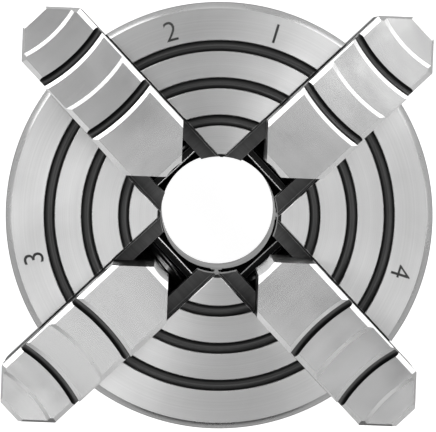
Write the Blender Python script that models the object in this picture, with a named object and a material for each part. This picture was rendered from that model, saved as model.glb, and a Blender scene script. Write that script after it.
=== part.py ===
"""Four-jaw independent lathe chuck, 80 mm size, lying on its back.

The chuck's axis is Z, its rear face stands on z = 0 and the jaws point up.
Each jaw slides in its own radial slot and is driven by its own screw.
Run with: blender --background --python part.py
"""
import math

import bmesh
import bpy
from mathutils import Matrix

MM = 0.001

# Body
BODY_DIAMETER = 80 * MM
BODY_THICKNESS = 42 * MM
BORE_DIAMETER = 22 * MM
BORE_CHAMFER = 0.6 * MM
FRONT_CHAMFER = 1.2 * MM
REAR_CHAMFER = 0.8 * MM
REGISTER_DIAMETER = 55 * MM
REGISTER_DEPTH = 3.5 * MM
REGISTER_CHAMFER = 0.5 * MM
FACE_GROOVE_INSET = 8.2 * MM
FACE_GROOVE_SPACING = 6.95 * MM
FACE_GROOVE_COUNT = 3
FACE_GROOVE_WIDTH = 2.05 * MM
FACE_GROOVE_FLOOR_WIDTH = 1.0 * MM
FACE_GROOVE_DEPTH = 1.0 * MM
BODY_SEGMENTS = 64

# Threaded holes in the rear face that hold the chuck to its adapter plate
MOUNTING_INSET = 7.0 * MM
MOUNTING_HOLE_DIAMETER = 5.2 * MM
MOUNTING_HOLE_DEPTH = 12 * MM

# Jaw slots: an upper guide, a rib on each side and a lower chamber
RUNNING_GAP = 0.3 * MM
GUIDE_HEIGHT = 4.0 * MM
RIB_HEIGHT = 4.1 * MM
RIB_REACH = 2.9 * MM

# Jaws
JAW_WIDTH = 14.6 * MM
JAW_RISE = 16.0 * MM
STEP_HEIGHT = 5.3 * MM
NOSE_LAND_LENGTH = 13.5 * MM
SECOND_STEP_LENGTH = 12.9 * MM
THIRD_STEP_LENGTH = 12.2 * MM
SEAT_LENGTH = 7.2 * MM
LAND_DROP = 0.5 * MM
NOSE_WIDTH = 3.8 * MM
END_WIDTH = 4.8 * MM
GRIP_RADIUS = 34.0 * MM
GRIP_SEGMENTS = 4
NOSE_BEVEL = 1.05 * MM
SIDE_BEVEL = 0.9 * MM
STEP_BEVEL = 0.7 * MM
END_BEVEL = 0.9 * MM
RELIEF_WIDTH = 1.7 * MM
RELIEF_DEPTH = 1.1 * MM
RELIEF_UNDERCUT = 0.2 * MM

# Radius at which each jaw's nose stands
NOSE_RADII = (13.35 * MM, 12.4 * MM, 14.75 * MM, 12.4 * MM)

# Operating screws: left-hand, so that turning the key clockwise closes the jaw
SCREW_DIAMETER = 11.6 * MM
SCREW_DEPTH = 17.0 * MM
SCREW_PITCH = 3.0 * MM
SCREW_BORE_WALL = 1.9 * MM
SCREW_END_DEPTH = 0.8 * MM
THREAD_DEPTH = 1.2 * MM
THREAD_CREST = 0.95 * MM
THREAD_FLANK = 0.4 * MM
THREAD_STEPS = 12
NECK_DIAMETER = 7.0 * MM
NECK_LENGTH = 3.2 * MM
KEY_SOCKET_WIDTH = 6.0 * MM
KEY_SOCKET_DEPTH = 8.0 * MM
END_CHAMFER = 0.6 * MM

# Thrust forks, which hold the screws' necks, and the grub screws behind them
FORK_DIAMETER = 10.4 * MM
FORK_BORE_EDGE = 0.2 * MM
FORK_FACE_GAP = 0.35 * MM
GRUB_LENGTH = 5.0 * MM
GRUB_RECESS = 0.5 * MM
HEX_SOCKET_WIDTH = 5.0 * MM
HEX_SOCKET_DEPTH = 3.0 * MM
PIN_SEGMENTS = 24

# Sizes that follow from the ones above
BODY_RADIUS = BODY_DIAMETER / 2
BORE_RADIUS = BORE_DIAMETER / 2
REGISTER_RADIUS = REGISTER_DIAMETER / 2
SLOT_HALF = JAW_WIDTH / 2 + RUNNING_GAP
RIB_OPENING_HALF = SLOT_HALF - RIB_REACH
RIB_TOP = BODY_THICKNESS - GUIDE_HEIGHT
RIB_BOTTOM = RIB_TOP - RIB_HEIGHT
SCREW_HEIGHT = BODY_THICKNESS - SCREW_DEPTH
SLOT_FLOOR = SCREW_HEIGHT + RUNNING_GAP
JAW_BOTTOM = SLOT_FLOOR + RUNNING_GAP
JAW_TOP = BODY_THICKNESS + JAW_RISE
SECOND_RISER = NOSE_LAND_LENGTH + SECOND_STEP_LENGTH
JAW_LENGTH = SECOND_RISER + THIRD_STEP_LENGTH
SCREW_RADIUS = SCREW_DIAMETER / 2
SCREW_BORE_RADIUS = SCREW_RADIUS + RUNNING_GAP
SCREW_BORE_START = BORE_RADIUS + SCREW_BORE_WALL
SCREW_INNER_END = SCREW_BORE_START + RUNNING_GAP
SCREW_OUTER_END = BODY_RADIUS - SCREW_END_DEPTH
FORK_RADIUS = FORK_DIAMETER / 2
FORK_BORE_RADIUS = FORK_RADIUS + RUNNING_GAP
FORK_PLACE = REGISTER_RADIUS - FORK_BORE_RADIUS - FORK_BORE_EDGE
GRUB_BOTTOM = REGISTER_DEPTH + GRUB_RECESS
GRUB_TOP = GRUB_BOTTOM + GRUB_LENGTH
BEYOND = 5 * MM
WELD = 0.001 * MM


def clear_scene():
    for item in list(bpy.data.objects):
        bpy.data.objects.remove(item, do_unlink=True)


def make_material(name, colour, roughness, metallic):
    material = bpy.data.materials.new(name)
    material.use_nodes = True
    shader = material.node_tree.nodes["Principled BSDF"]
    shader.inputs["Base Color"].default_value = (*colour, 1.0)
    shader.inputs["Roughness"].default_value = roughness
    shader.inputs["Metallic"].default_value = metallic
    return material


def object_from(bm, name):
    """Turn a bmesh into an object with all its faces pointing out."""
    bmesh.ops.recalc_face_normals(bm, faces=bm.faces)
    mesh = bpy.data.meshes.new(name)
    bm.to_mesh(mesh)
    bm.free()
    item = bpy.data.objects.new(name, mesh)
    bpy.context.collection.objects.link(item)
    return item


def loft(rings, name, closed=False):
    """Skin a list of vertex rings, capping both ends unless the rings close on themselves."""
    bm = bmesh.new()
    made = [[bm.verts.new(point) for point in ring] for ring in rings]
    pairs = list(zip(made, made[1:]))
    if closed:
        pairs.append((made[-1], made[0]))
    for lower, upper in pairs:
        for index, corner in enumerate(lower):
            following = (index + 1) % len(lower)
            bm.faces.new((corner, lower[following], upper[following], upper[index]))
    if not closed:
        bm.faces.new(made[0])
        bm.faces.new(made[-1])
    return object_from(bm, name)


def turned(profile, segments, name):
    """Revolve a closed outline of (radius, height) points around Z."""
    rings = []
    for step in range(segments):
        angle = math.tau * step / segments
        rings.append([(r * math.cos(angle), r * math.sin(angle), z) for r, z in profile])
    return loft(rings, name, closed=True)


def prism(outline, low, high, name):
    """Extrude an outline of (x, y) points along Z."""
    return loft([[(x, y, z) for x, y in outline] for z in (low, high)], name)


def circle(radius, segments, centre=(0.0, 0.0), turn=0.0):
    """Points on a circle, the first one at the angle turn."""
    angles = [turn + math.tau * step / segments for step in range(segments)]
    return [(centre[0] + radius * math.cos(a), centre[1] + radius * math.sin(a)) for a in angles]


def regular(width_across_flats, sides):
    """A regular polygon with its flats square to its axes."""
    return circle(width_across_flats / 2 / math.cos(math.pi / sides), sides, turn=math.pi / sides)


def rod(outline, start, end, height, name):
    """Extrude an outline of (y, z) points along X, centred at a height above the rear face."""
    rings = [[(x, y, height + z) for y, z in outline] for x in (start, end)]
    return loft(rings, name)


def turn_about_axis(item, angle):
    """Turn a piece's mesh around the chuck's axis."""
    item.data.transform(Matrix.Rotation(angle, 4, "Z"))
    return item


def combine(target, tool, operation):
    """Apply a Boolean of the tool to the target, weld the result and delete the tool."""
    modifier = target.modifiers.new("combine", "BOOLEAN")
    modifier.operation = operation
    modifier.solver = "EXACT"
    modifier.object = tool
    evaluated = target.evaluated_get(bpy.context.evaluated_depsgraph_get())
    result = bpy.data.meshes.new_from_object(evaluated)
    target.modifiers.clear()
    target.data = result
    bpy.data.objects.remove(tool, do_unlink=True)
    bm = bmesh.new()
    bm.from_mesh(result)
    bmesh.ops.remove_doubles(bm, verts=bm.verts, dist=WELD)
    bmesh.ops.dissolve_limit(bm, angle_limit=math.radians(0.2), verts=bm.verts, edges=bm.edges)
    bm.to_mesh(result)
    bm.free()


def cut(target, tool):
    combine(target, tool, "DIFFERENCE")


def shade(item, angle=35):
    item.data.shade_smooth()
    item.data.set_sharp_from_angle(angle=math.radians(angle))


def finish(item, name, material, location=(0, 0, 0), turn=0.0):
    """Name a piece, give it its material and put it in its place on the chuck."""
    item.name = name
    item.data.name = name
    item.data.materials.clear()
    item.data.materials.append(material)
    item.location = location
    item.rotation_euler = (0, 0, turn)
    shade(item)
    return item


# Body ---------------------------------------------------------------------------------

def body_profile():
    """The body's half section, from the register's mouth round to the bore."""
    front = BODY_THICKNESS
    points = [
        (REGISTER_RADIUS + REGISTER_CHAMFER, 0),
        (BODY_RADIUS - REAR_CHAMFER, 0),
        (BODY_RADIUS, REAR_CHAMFER),
        (BODY_RADIUS, front - FRONT_CHAMFER),
        (BODY_RADIUS - FRONT_CHAMFER, front),
    ]
    for number in range(FACE_GROOVE_COUNT):
        middle = BODY_RADIUS - FACE_GROOVE_INSET - number * FACE_GROOVE_SPACING
        points += [
            (middle + FACE_GROOVE_WIDTH / 2, front),
            (middle + FACE_GROOVE_FLOOR_WIDTH / 2, front - FACE_GROOVE_DEPTH),
            (middle - FACE_GROOVE_FLOOR_WIDTH / 2, front - FACE_GROOVE_DEPTH),
            (middle - FACE_GROOVE_WIDTH / 2, front),
        ]
    points += [
        (BORE_RADIUS + BORE_CHAMFER, front),
        (BORE_RADIUS, front - BORE_CHAMFER),
        (BORE_RADIUS, REGISTER_DEPTH + BORE_CHAMFER),
        (BORE_RADIUS + BORE_CHAMFER, REGISTER_DEPTH),
        (REGISTER_RADIUS, REGISTER_DEPTH),
        (REGISTER_RADIUS, REGISTER_CHAMFER),
    ]
    return points


def slot_outline():
    """The section of a jaw slot, from above the front face down to its floor."""
    wide, narrow = SLOT_HALF, RIB_OPENING_HALF
    right = [
        (wide, SLOT_FLOOR),
        (wide, RIB_BOTTOM),
        (narrow, RIB_BOTTOM),
        (narrow, RIB_TOP),
        (wide, RIB_TOP),
        (wide, BODY_THICKNESS + BEYOND),
    ]
    return right + [(-y, z) for y, z in reversed(right)]


def make_body(material):
    body = turned(body_profile(), BODY_SEGMENTS, "body")
    reach = BODY_RADIUS + BEYOND
    for turn in (0, math.pi / 2):
        slot = rod(slot_outline(), -reach, reach, 0, "slot")
        cut(body, turn_about_axis(slot, turn))
    for number in range(4):
        turn = number * math.pi / 2
        screw_bore = rod(circle(SCREW_BORE_RADIUS, PIN_SEGMENTS), SCREW_BORE_START,
                         reach, SCREW_HEIGHT, "screw_bore")
        cut(body, turn_about_axis(screw_bore, turn))
        fork_bore = prism(circle(FORK_BORE_RADIUS, PIN_SEGMENTS, (FORK_PLACE, 0)),
                          REGISTER_DEPTH - BEYOND, SCREW_HEIGHT, "fork_bore")
        cut(body, turn_about_axis(fork_bore, turn))
        bolt_hole = prism(circle(MOUNTING_HOLE_DIAMETER / 2, 16, (BODY_RADIUS - MOUNTING_INSET, 0)),
                          -BEYOND, MOUNTING_HOLE_DEPTH, "bolt_hole")
        cut(body, turn_about_axis(bolt_hole, turn + math.pi / 4))
    return finish(body, "chuck_body", material)


# Threads ------------------------------------------------------------------------------

def helical_thread(start, end, gap, phase, name):
    """A left-hand thread along X, larger by gap all over, running past both its ends.

    Four helices bound the thread: the crest's two edges and the root's two edges. The
    strips between them close on the next turn, and each end is drawn in to the axis.
    """
    crest, root = SCREW_RADIUS + gap, SCREW_RADIUS - THREAD_DEPTH + gap
    half_crest = THREAD_CREST / 2 + gap
    half_foot = half_crest + THREAD_FLANK
    edges = [(-half_foot, root), (-half_crest, crest), (half_crest, crest), (half_foot, root)]
    first = start - 2 * SCREW_PITCH
    turns = math.ceil((end - start) / SCREW_PITCH) + 4
    bm = bmesh.new()
    rows = []
    for step in range(turns * THREAD_STEPS + 1):
        along = first + SCREW_PITCH * step / THREAD_STEPS
        turn = phase - math.tau * (along / SCREW_PITCH)
        rows.append([bm.verts.new((along + x, r * math.cos(turn), r * math.sin(turn)))
                     for x, r in edges])
    last = len(rows) - 1
    for step in range(last):
        near, far = rows[step], rows[step + 1]
        for a, b in zip(range(3), range(1, 4)):
            bm.faces.new((near[a], near[b], far[b], far[a]))
        if step + THREAD_STEPS < last:
            near_root, far_root = rows[step + THREAD_STEPS], rows[step + THREAD_STEPS + 1]
            bm.faces.new((near[3], near_root[0], far_root[0], far[3]))
    head = [row[0] for row in rows[:THREAD_STEPS + 1]] + rows[0][:0:-1]
    tail = [row[3] for row in rows[last - THREAD_STEPS:]] + rows[last][2::-1]
    for loop, middle in ((head, first), (tail, first + SCREW_PITCH * turns)):
        hub = bm.verts.new((middle, 0, 0))
        for corner, following in zip(loop, loop[1:] + loop[:1]):
            bm.faces.new((hub, corner, following))
    return object_from(bm, name)


# Operating screws ---------------------------------------------------------------------

def screw_envelope():
    """The space that a screw's turned blank fills: bevelled ends and a plain neck."""
    clear = SCREW_RADIUS + RUNNING_GAP
    neck = NECK_DIAMETER / 2
    neck_start = FORK_PLACE - NECK_LENGTH / 2
    neck_end = FORK_PLACE + NECK_LENGTH / 2
    slope = RUNNING_GAP + END_CHAMFER
    stations = [
        (SCREW_INNER_END, clear - slope), (SCREW_INNER_END + slope, clear),
        (neck_start, clear), (neck_start, neck), (neck_end, neck), (neck_end, clear),
        (SCREW_OUTER_END - slope, clear), (SCREW_OUTER_END, clear - slope),
    ]
    rings = [[(x, y, z) for y, z in circle(radius, PIN_SEGMENTS)] for x, radius in stations]
    return loft(rings, "envelope")


def make_screw(number, material):
    """A threaded screw with a plain neck, bevelled ends and a square key socket.

    The thread meets the jaw's where the jaw stands; the socket is square to the chuck.
    """
    phase = math.tau * NOSE_RADII[number] / SCREW_PITCH
    screw = helical_thread(SCREW_INNER_END, SCREW_OUTER_END, 0, phase, "screw")
    combine(screw, screw_envelope(), "INTERSECT")
    socket = rod(regular(KEY_SOCKET_WIDTH, 4), SCREW_OUTER_END - KEY_SOCKET_DEPTH,
                 SCREW_OUTER_END + BEYOND, 0, "socket")
    cut(screw, socket)
    return finish(screw, f"operating_screw_{number + 1}", material,
                  (0, 0, SCREW_HEIGHT), number * math.pi / 2)


# Jaws ---------------------------------------------------------------------------------

def step_down(riser, above, seat, edge_above, edge):
    """A bevelled riser, the relief at its foot, the seat and the slope to the land."""
    foot = riser - RELIEF_UNDERCUT
    slope = riser + SEAT_LENGTH
    return [
        (riser - STEP_BEVEL, above, True, edge_above),
        (riser, above - STEP_BEVEL, True, edge_above),
        (riser, seat + RELIEF_UNDERCUT, True, JAW_TOP),
        (foot, seat, True, JAW_TOP),
        (foot, seat - RELIEF_DEPTH, True, JAW_TOP),
        (riser + RELIEF_WIDTH, seat - RELIEF_DEPTH, True, JAW_TOP),
        (riser + RELIEF_WIDTH, seat, True, edge),
        (slope - LAND_DROP, seat, True, edge),
        (slope, seat - LAND_DROP, True, edge),
    ]


def jaw_profile():
    """The jaw's side outline, from the foot of its nose over the steps to its outer end.

    Each point is (x, z, bent, edge). Bent points lie on the hollow risers' arcs. The edge
    is the height of the top's outer edge there, below which the side bevel starts.
    """
    second_seat = JAW_TOP - STEP_HEIGHT
    third_seat = second_seat - STEP_HEIGHT
    edges = [level - SIDE_BEVEL for level in (JAW_TOP, second_seat, third_seat)]
    tail_top = third_seat - LAND_DROP
    points = [
        (0, JAW_BOTTOM, False, JAW_TOP),
        (0, JAW_TOP - SIDE_BEVEL, False, JAW_TOP),
        (NOSE_BEVEL, JAW_TOP, False, edges[0]),
    ]
    points += step_down(NOSE_LAND_LENGTH, JAW_TOP, second_seat, edges[0], edges[1])
    points += step_down(SECOND_RISER, second_seat - LAND_DROP, third_seat, edges[1], edges[2])
    points += [
        (JAW_LENGTH - END_BEVEL, tail_top, False, edges[2]),
        (JAW_LENGTH, tail_top - END_BEVEL, False, JAW_TOP),
        (JAW_LENGTH, JAW_BOTTOM, False, JAW_TOP),
    ]
    return points


def jaw_blank():
    """The stepped block that a jaw is cut from, skinned from side to side."""
    half = JAW_WIDTH / 2
    inner = half - SIDE_BEVEL
    across = [-half, -half + SIDE_BEVEL - LAND_DROP]
    across += [inner * (2 * step / GRIP_SEGMENTS - 1) for step in range(GRIP_SEGMENTS + 1)]
    across += [half - SIDE_BEVEL + LAND_DROP, half]
    profile = jaw_profile()
    rings = []
    for y in across:
        bend = GRIP_RADIUS - math.sqrt(GRIP_RADIUS ** 2 - y ** 2)
        rings.append([(x + bend * bent, y, min(z, edge + half - abs(y)))
                      for x, z, bent, edge in profile])
    return loft(rings, "jaw")


def nose_flank(side):
    """The wedge that is cut off one side of a jaw's nose."""
    half, nose = JAW_WIDTH / 2, NOSE_WIDTH / 2
    wedge = [
        (-BEYOND, side * (nose - BEYOND)),
        (half - nose + BEYOND, side * (half + BEYOND)),
        (-BEYOND, side * (half + BEYOND)),
    ]
    return prism(wedge, JAW_BOTTOM - BEYOND, JAW_TOP + BEYOND, "nose_flank")


def end_corner(side):
    """The wedge that is cut off one corner of a jaw's outer end."""
    half = JAW_WIDTH / 2
    corner = half - END_WIDTH / 2
    wedge = [
        (JAW_LENGTH - corner - BEYOND, side * (half + BEYOND)),
        (JAW_LENGTH + BEYOND, side * (half - corner - BEYOND)),
        (JAW_LENGTH + BEYOND, side * (half + BEYOND)),
    ]
    return prism(wedge, JAW_BOTTOM - BEYOND, JAW_TOP + BEYOND, "end_corner")


def rib_groove(side):
    """The groove in a jaw's side that one of the slot's ribs runs in."""
    neck = side * (RIB_OPENING_HALF - RUNNING_GAP)
    outside = side * (JAW_WIDTH / 2 + BEYOND)
    outline = [(-BEYOND, neck), (JAW_LENGTH + BEYOND, neck),
               (JAW_LENGTH + BEYOND, outside), (-BEYOND, outside)]
    return prism(outline, RIB_BOTTOM - RUNNING_GAP, RIB_TOP + RUNNING_GAP, "rib_groove")


def make_jaw_mesh():
    """One reversible stepped jaw, its nose at x = 0 and its underside a half nut."""
    jaw = jaw_blank()
    for side in (-1, 1):
        cut(jaw, nose_flank(side))
        cut(jaw, end_corner(side))
        cut(jaw, rib_groove(side))
    nut = helical_thread(0, JAW_LENGTH, RUNNING_GAP, 0, "nut")
    nut.data.transform(Matrix.Translation((0, 0, SCREW_HEIGHT)))
    cut(jaw, nut)
    mesh = jaw.data
    bpy.data.objects.remove(jaw, do_unlink=True)
    return mesh


def make_jaws(material):
    mesh = make_jaw_mesh()
    for number, nose_radius in enumerate(NOSE_RADII):
        turn = number * math.pi / 2
        jaw = bpy.data.objects.new("jaw", mesh)
        bpy.context.collection.objects.link(jaw)
        place = (nose_radius * math.cos(turn), nose_radius * math.sin(turn), 0)
        jaw.name = f"jaw_{number + 1}"
        jaw.location = place
        jaw.rotation_euler = (0, 0, turn)
    mesh.name = "jaw"
    mesh.materials.clear()
    mesh.materials.append(material)
    mesh.shade_smooth()
    mesh.set_sharp_from_angle(angle=math.radians(25))


# Thrust forks and their grub screws -----------------------------------------------------

def make_fork(number, material):
    """A round plug under the screw whose thin tongue straddles the screw's neck."""
    shoulder = SCREW_HEIGHT - SCREW_BORE_RADIUS
    low = GRUB_TOP + RUNNING_GAP
    fork = prism(circle(FORK_RADIUS, PIN_SEGMENTS), low, SCREW_HEIGHT - RUNNING_GAP, "fork")
    tongue_half = NECK_LENGTH / 2 - FORK_FACE_GAP
    for side in (-1, 1):
        face, outside = side * tongue_half, side * (FORK_RADIUS + BEYOND)
        cheek = [(face, -SCREW_DIAMETER), (outside, -SCREW_DIAMETER),
                 (outside, SCREW_DIAMETER), (face, SCREW_DIAMETER)]
        cut(fork, prism(cheek, shoulder, SCREW_HEIGHT + BEYOND, "cheek"))
    throat = circle(NECK_DIAMETER / 2 + RUNNING_GAP, PIN_SEGMENTS)
    cut(fork, rod(throat, -FORK_DIAMETER, FORK_DIAMETER, SCREW_HEIGHT, "throat"))
    turn = number * math.pi / 2
    place = (FORK_PLACE * math.cos(turn), FORK_PLACE * math.sin(turn), 0)
    return finish(fork, f"thrust_fork_{number + 1}", material, place, turn)


def make_grub_screw(number, material):
    """The hexagon-socket screw that closes a fork's bore and holds the fork up."""
    outer, small = FORK_RADIUS, FORK_RADIUS - END_CHAMFER
    levels = [(small, GRUB_BOTTOM), (outer, GRUB_BOTTOM + END_CHAMFER),
              (outer, GRUB_TOP - END_CHAMFER), (small, GRUB_TOP)]
    rings = [[(x, y, z) for x, y in circle(radius, PIN_SEGMENTS)] for radius, z in levels]
    grub = loft(rings, "grub")
    socket = prism(regular(HEX_SOCKET_WIDTH, 6), GRUB_BOTTOM - BEYOND,
                   GRUB_BOTTOM + HEX_SOCKET_DEPTH, "socket")
    cut(grub, socket)
    turn = number * math.pi / 2
    place = (FORK_PLACE * math.cos(turn), FORK_PLACE * math.sin(turn), 0)
    return finish(grub, f"fork_grub_screw_{number + 1}", material, place, turn)


def build():
    clear_scene()
    body_steel = make_material("body_steel", (0.62, 0.62, 0.61), 0.30, 1.0)
    jaw_steel = make_material("jaw_steel", (0.72, 0.72, 0.71), 0.22, 1.0)
    screw_steel = make_material("screw_steel", (0.34, 0.34, 0.35), 0.35, 1.0)
    make_body(body_steel)
    make_jaws(jaw_steel)
    for number in range(4):
        make_screw(number, screw_steel)
        make_fork(number, screw_steel)
        make_grub_screw(number, screw_steel)


build()
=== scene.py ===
"""A four-jaw independent lathe chuck, lying on its back in a plain, softly lit studio."""
import math

import bmesh
import bpy
from mathutils import Matrix, Vector


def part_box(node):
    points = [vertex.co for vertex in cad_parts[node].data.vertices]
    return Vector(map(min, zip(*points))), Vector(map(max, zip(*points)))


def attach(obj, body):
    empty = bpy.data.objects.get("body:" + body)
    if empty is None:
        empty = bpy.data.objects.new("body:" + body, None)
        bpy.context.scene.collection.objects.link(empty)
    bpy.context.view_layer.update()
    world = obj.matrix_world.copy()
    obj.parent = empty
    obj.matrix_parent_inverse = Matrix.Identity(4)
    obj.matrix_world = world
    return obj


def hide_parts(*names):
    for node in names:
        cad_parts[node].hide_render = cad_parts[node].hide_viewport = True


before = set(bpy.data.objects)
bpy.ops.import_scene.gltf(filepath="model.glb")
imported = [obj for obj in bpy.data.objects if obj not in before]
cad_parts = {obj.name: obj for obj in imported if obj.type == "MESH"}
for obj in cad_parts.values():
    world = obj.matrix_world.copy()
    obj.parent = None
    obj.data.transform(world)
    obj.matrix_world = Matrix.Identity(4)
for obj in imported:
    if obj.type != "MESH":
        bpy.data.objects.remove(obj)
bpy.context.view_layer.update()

MM = 0.001

# Body
BODY_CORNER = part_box("chuck_body")[1]
BODY_RADIUS = BODY_CORNER.x
FACE = BODY_CORNER.z
BORE_RADIUS = 11.0 * MM
BORE_CHAMFER = 0.6 * MM
FRONT_CHAMFER = 1.2 * MM
RIM_BREAK = 0.2 * MM
RIM_FALL = 0.3 * MM
REAR_CHAMFER = 0.8 * MM
REGISTER_RADIUS = 27.5 * MM
REGISTER_DEPTH = 3.5 * MM
REGISTER_CHAMFER = 0.5 * MM
GROOVE_INSET = 8.2 * MM
GROOVE_SPACING = 6.95 * MM
GROOVE_COUNT = 3
GROOVE_HALF = 1.02 * MM
GROOVE_DEPTH = 1.05 * MM
GROOVE_STEPS = 8
GROOVE_FULLNESS = 0.7
EDGE_BREAK = 0.12 * MM
BODY_STEPS = 256
BOLT_CIRCLE = BODY_RADIUS - 7.0 * MM
BOLT_HOLE_RADIUS = 2.6 * MM
BOLT_HOLE_DEPTH = 12.0 * MM
BOLT_HOLE_SIDES = 32

# Jaw slots
RUNNING_GAP = 0.3 * MM
SLOT_HALF = 7.6 * MM
RIB_OPENING_HALF = 4.7 * MM
RIB_TOP = FACE - 4.0 * MM
RIB_BOTTOM = FACE - 8.1 * MM
CORNER_RELIEF = 0.4 * MM
SCREW_HEIGHT = FACE - 17.0 * MM
SLOT_FLOOR = SCREW_HEIGHT + RUNNING_GAP
WEB_EDGE = BORE_RADIUS + 0.55 * MM
WEB_FACET = 0.2 * MM
WEB_REACH = 2.5 * MM

# Jaws
JAW_HALF = 7.3 * MM
JAW_LENGTH = 38.6 * MM
JAW_BOTTOM = SLOT_FLOOR + RUNNING_GAP
JAW_TOP = FACE + 16.0 * MM
STEP_HEIGHT = 5.3 * MM
RISERS = (13.5 * MM, 26.4 * MM)
RISER_RADII = (35.0 * MM, 29.0 * MM)
SEAT_LENGTH = 7.2 * MM
LAND_DROP = 0.5 * MM
LAND_SLOPE = 0.7 * MM
NOSE_HALF = 1.9 * MM
NOSE_HOLLOW = 0.25 * MM
END_HALF = 2.4 * MM
NOSE_BEVEL = 1.05 * MM
SIDE_BEVEL = 0.9 * MM
STEP_BEVEL = 0.7 * MM
END_BEVEL = 0.9 * MM
CORNER_BEVEL = 0.4 * MM
CORNER_REACH = 1.0 * MM
RELIEF_INNER = 0.2 * MM
RELIEF_OUTER = 1.7 * MM
RELIEF_DEPTH = 1.0 * MM
RELIEF_STEPS = 10
BEVEL_SLOPE = math.tan(math.radians(40))
NECK_HALF = RIB_OPENING_HALF - RUNNING_GAP
SERRATIONS = 5
SERRATION_SPACING = 3.4 * MM
FIRST_SERRATION = 0.6 * SERRATION_SPACING
SERRATION_LENGTH = 1.7 * MM
SERRATION_DEPTH = 0.3 * MM
SWEEP_STEPS = 192

# Screws
SCREW_RADIUS = 5.8 * MM
SCREW_PITCH = 3.0 * MM
THREAD_DEPTH = 1.2 * MM
THREAD_CREST_HALF = 0.475 * MM
THREAD_FLANK = 0.4 * MM
THREAD_STEPS = 48
SCREW_START = BORE_RADIUS + 2.2 * MM
SCREW_END = BODY_RADIUS - 0.8 * MM
NECK_RADIUS = 3.5 * MM
NECK_LENGTH = 3.2 * MM
KEY_SOCKET = 6.0 * MM
KEY_SOCKET_DEPTH = 8.0 * MM
KEY_SOCKET_MOUTH = 3.3 * MM
END_CHAMFER = 0.6 * MM

# Thrust forks and their grub screws
FORK_RADIUS = 5.2 * MM
FORK_PLACE = 21.8 * MM
GRUB_BOTTOM = REGISTER_DEPTH + 0.5 * MM
GRUB_TOP = GRUB_BOTTOM + 5.0 * MM
GRUB_PITCH = 1.0 * MM
GRUB_THREAD_DEPTH = 0.55 * MM
GRUB_CREST_HALF = 0.06 * MM
GRUB_FLANK = 0.4 * MM
HEX_SOCKET = 5.0 * MM
HEX_SOCKET_DEPTH = 3.0 * MM

# Numbers stamped beside the slots
NUMBER_RADIUS = BODY_RADIUS - 4.6 * MM
NUMBER_SIZE = 5.4 * MM
NUMBER_DEPTH = 0.2 * MM
NUMBER_ANGLES = (30, 62, 150, 300)

# How far a face leans, by the upward part of its normal
BROKEN_LOW = 0.5
BROKEN_HIGH = 0.9
WEB_FACET_LOW = 0.8
LEVEL = 0.97
UPRIGHT = 0.2

BEYOND = 5.0 * MM
WELD = 0.001 * MM
ROUND_SIDES = 64
SMOOTHING = 30
JAW_SMOOTHING = 20
QUARTER = math.pi / 2


# Modelling by hand ----------------------------------------------------------------------

def only(piece):
    """Leave edit mode and select this piece alone."""
    if bpy.context.object and bpy.context.object.mode != "OBJECT":
        bpy.ops.object.mode_set(mode="OBJECT")
    bpy.ops.object.select_all(action="DESELECT")
    if piece:
        piece.select_set(True)
        bpy.context.view_layer.objects.active = piece


def edit(piece):
    """Open a piece in edit mode with everything selected."""
    only(piece)
    bpy.ops.object.mode_set(mode="EDIT")
    bpy.ops.mesh.select_all(action="SELECT")


def settle(piece):
    """Move a piece's place, turn and scale into its mesh."""
    only(piece)
    bpy.ops.object.transform_apply(location=True, rotation=True, scale=True)
    return piece


def tidy(piece):
    """Weld what touches and point every face outwards."""
    edit(piece)
    bpy.ops.mesh.remove_doubles(threshold=WELD)
    bpy.ops.mesh.normals_make_consistent(inside=False)
    bpy.ops.object.mode_set(mode="OBJECT")
    return piece


def apply(piece, kind, **settings):
    """Put a modifier on a piece and apply it."""
    only(piece)
    modifier = piece.modifiers.new(kind.lower(), kind)
    for name, value in settings.items():
        setattr(modifier, name, value)
    bpy.ops.object.modifier_apply(modifier=modifier.name)
    return piece


def outline(name, points):
    """A flat face, drawn by extruding one corner from point to point and filling it."""
    only(None)
    bpy.ops.mesh.primitive_plane_add(size=MM, location=points[0])
    piece = bpy.context.object
    piece.name = name
    bpy.ops.object.mode_set(mode="EDIT")
    bpy.ops.mesh.merge(type="CENTER")
    for here, there in zip(points, points[1:]):
        step = Vector(there) - Vector(here)
        bpy.ops.mesh.extrude_vertices_move(TRANSFORM_OT_translate={"value": step})
    bpy.ops.mesh.select_all(action="SELECT")
    bpy.ops.mesh.edge_face_add()
    bpy.ops.object.mode_set(mode="OBJECT")
    return settle(piece)


def extruded(name, points, way):
    """A prism: an outline extruded along a vector."""
    piece = outline(name, points)
    edit(piece)
    bpy.ops.mesh.extrude_region_move(TRANSFORM_OT_translate={"value": way})
    return tidy(piece)


def turned(name, profile, steps, axis=(0, 0)):
    """A piece turned about an upright axis from a closed outline of (radius, height)."""
    piece = outline(name, [(radius, 0, height) for radius, height in profile])
    edit(piece)
    bpy.ops.mesh.delete(type="ONLY_FACE")
    bpy.ops.object.mode_set(mode="OBJECT")
    apply(piece, "SCREW", steps=steps, render_steps=steps, use_merge_vertices=True,
          merge_threshold=WELD)
    piece.location = (*axis, 0)
    settle(piece)
    return tidy(piece)


def block(name, low, high):
    """A rectangular block between two corners."""
    only(None)
    low, high = Vector(low), Vector(high)
    bpy.ops.mesh.primitive_cube_add(size=1, location=(low + high) / 2, scale=high - low)
    piece = bpy.context.object
    piece.name = name
    return settle(piece)


def drill(name, radius, low, high, place=(0, 0), sides=ROUND_SIDES):
    """A round or, with few sides, a polygonal bar standing upright."""
    only(None)
    bpy.ops.mesh.primitive_cylinder_add(vertices=sides, radius=radius, depth=high - low,
                                        location=(*place, (low + high) / 2))
    piece = bpy.context.object
    piece.name = name
    return settle(piece)


def combine(piece, tool, operation):
    """Join, cut or intersect a piece with a tool, which is then removed."""
    apply(piece, "BOOLEAN", object=tool, operation=operation, solver="EXACT")
    bpy.data.objects.remove(tool, do_unlink=True)
    return piece


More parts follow.
